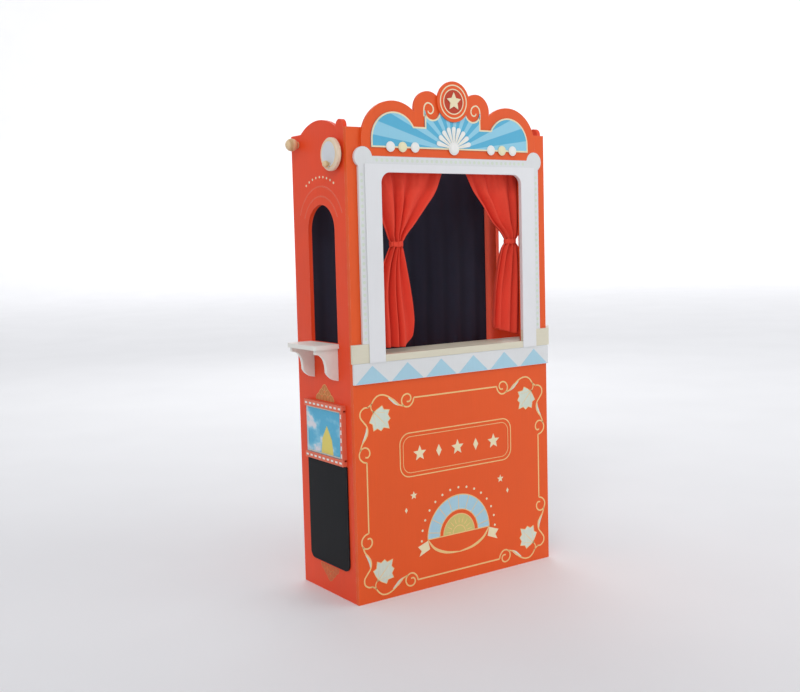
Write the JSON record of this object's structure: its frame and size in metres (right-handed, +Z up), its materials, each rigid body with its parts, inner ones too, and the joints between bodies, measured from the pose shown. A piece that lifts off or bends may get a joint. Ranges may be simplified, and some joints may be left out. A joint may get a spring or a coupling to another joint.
{
  "type": "puppet theatre",
  "caption": "Free-standing wooden puppet booth with a framed stage, shaped crest, wheel-drawn red curtains, side windows with counters, chalkboards and a cloth back.",
  "frame": {"origin": "centre of the footprint at floor level, at the bottom centre of the whole box", "axes": "+X to the right as the audience sees it, +Y from the audience to the back, +Z up"},
  "size_m": [0.636, 0.23, 1.063],
  "materials": {
    "red_paint": "satin orange-red paint",
    "white_paint": "satin white paint",
    "cream_paint": "satin cream paint",
    "sky_paint": "satin sky blue paint",
    "gold_paint": "soft gold paint",
    "chalk_paint": "matt black chalkboard paint",
    "pale_wood": "bare sanded beech",
    "red_cloth": "red satin weave",
    "black_cloth": "matt black cotton"
  },
  "bodies": {
    "booth": {"side_panel_left": "red_paint", "side_panel_right": "red_paint", "front_lower_board": "red_paint", "front_stage_frame": "red_paint", "triangle_band": "white_paint", "plinth_left": "cream_paint", "plinth_right": "cream_paint", "stage_floor": "cream_paint", "floor_cleat_left": "pale_wood", "floor_cleat_right": "pale_wood", "corner_batten_left": "pale_wood", "corner_batten_right": "pale_wood", "stage_trim": "white_paint", "stage_trim_strip": "white_paint", "crest_board": "red_paint", "crest_sky_panel": "sky_paint", "crest_medallion": "red_paint", "crest_star": "gold_paint", "crest_fan": "cream_paint", "crest_bulb_1": "white_paint", "crest_bulb_2": "white_paint", "crest_bulb_3": "white_paint", "crest_bulb_4": "white_paint", "crest_bulb_5": "white_paint", "crest_bulb_6": "white_paint", "crest_bulb_7": "white_paint", "counter_left": "cream_paint", "counter_right": "cream_paint", "counter_bracket_left_front": "cream_paint", "counter_bracket_left_rear": "cream_paint", "counter_bracket_right_front": "cream_paint", "counter_bracket_right_rear": "cream_paint", "chalkboard_left": "chalk_paint", "chalkboard_right": "chalk_paint", "picture_rail_lower": "red_paint", "picture_rail_upper": "red_paint", "picture_stop": "red_paint", "rear_header": "red_paint", "rear_lower_rail": "red_paint", "back_rod": "pale_wood", "rod_knob_left": "gold_paint", "rod_knob_right": "gold_paint", "curtain_rod": "pale_wood", "rod_socket_left": "pale_wood", "rod_socket_right": "pale_wood", "wheel_bush": "red_paint", "dowel_bush": "pale_wood", "back_cloth_heading": "black_cloth"},
    "wheel_drive": {"draw_wheel": "gold_paint", "wheel_handle": "gold_paint", "winding_dowel": "pale_wood", "bobbin_left": "pale_wood", "bobbin_right": "pale_wood"},
    "left_curtain": {"curtain_left": "red_cloth", "curtain_tie_left": "red_cloth"},
    "right_curtain": {"curtain_right": "red_cloth", "curtain_tie_right": "red_cloth"},
    "back_curtain": {"back_cloth": "black_cloth"},
    "picture": {"picture_board": "sky_paint"}
  },
  "joints": [
    {"name": "wheel_turn", "type": "hinge", "parent": "booth", "child": "wheel_drive", "pos_m": [-0.27, -0.0613, 0.91], "axis": [1, 0, 0], "range_deg": [0, 170]},
    {"name": "left_curtain_slide", "type": "slide", "parent": "booth", "child": "left_curtain", "axis": [1, 0, 0], "range_m": [0, 0.0267]},
    {"name": "right_curtain_slide", "type": "slide", "parent": "booth", "child": "right_curtain", "axis": [-1, 0, 0], "range_m": [0, 0.0267]},
    {"name": "back_curtain_swing", "type": "hinge", "parent": "booth", "child": "back_curtain", "pos_m": [0, 0.088, 0.883], "axis": [1, 0, 0], "range_deg": [-10, 60]},
    {"name": "picture_slide", "type": "slide", "parent": "booth", "child": "picture", "axis": [0, 1, 0], "range_m": [0, 0.12]}
  ],
  "couplings": [
    {"joint": "left_curtain_slide", "follows": "wheel_turn", "m_per_rad": 0.009},
    {"joint": "right_curtain_slide", "follows": "wheel_turn", "m_per_rad": 0.009}
  ]
}
